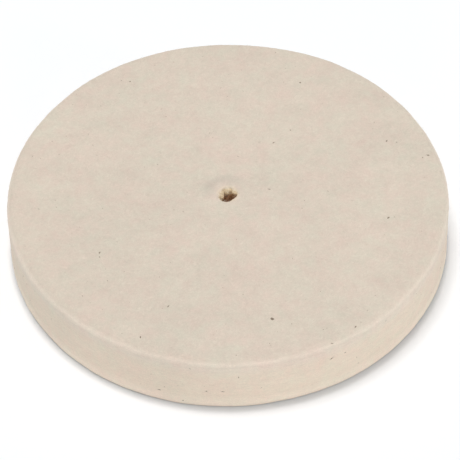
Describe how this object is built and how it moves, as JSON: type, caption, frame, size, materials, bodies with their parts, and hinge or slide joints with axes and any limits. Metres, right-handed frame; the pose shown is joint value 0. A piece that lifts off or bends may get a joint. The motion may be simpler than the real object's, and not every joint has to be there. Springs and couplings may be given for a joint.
{
  "type": "felt polishing wheel",
  "caption": "Thick round disc of pressed cream wool felt with a plain centre hole, a soft upper shoulder and a faintly layered wall.",
  "frame": {"origin": "on the axis of the centre hole, half way between the two faces", "axes": "+Z along the hole's axis, out of the top face, which has the soft shoulder; X and Y in the wheel's plane, all directions alike"},
  "size_m": [0.15, 0.15, 0.022],
  "materials": {
    "face_felt": "matt, hard-pressed cream wool, brushed smooth, with a few dark vegetable specks",
    "core_felt": "matt, hard-pressed cream wool, slightly warmer, cut edge with fine streaks along the layers"
  },
  "bodies": {
    "root": {"bottom_face_ply": "face_felt", "lower_core_ply": "core_felt", "middle_core_ply": "core_felt", "upper_core_ply": "core_felt", "top_face_ply": "face_felt"}
  },
  "joints": []
}
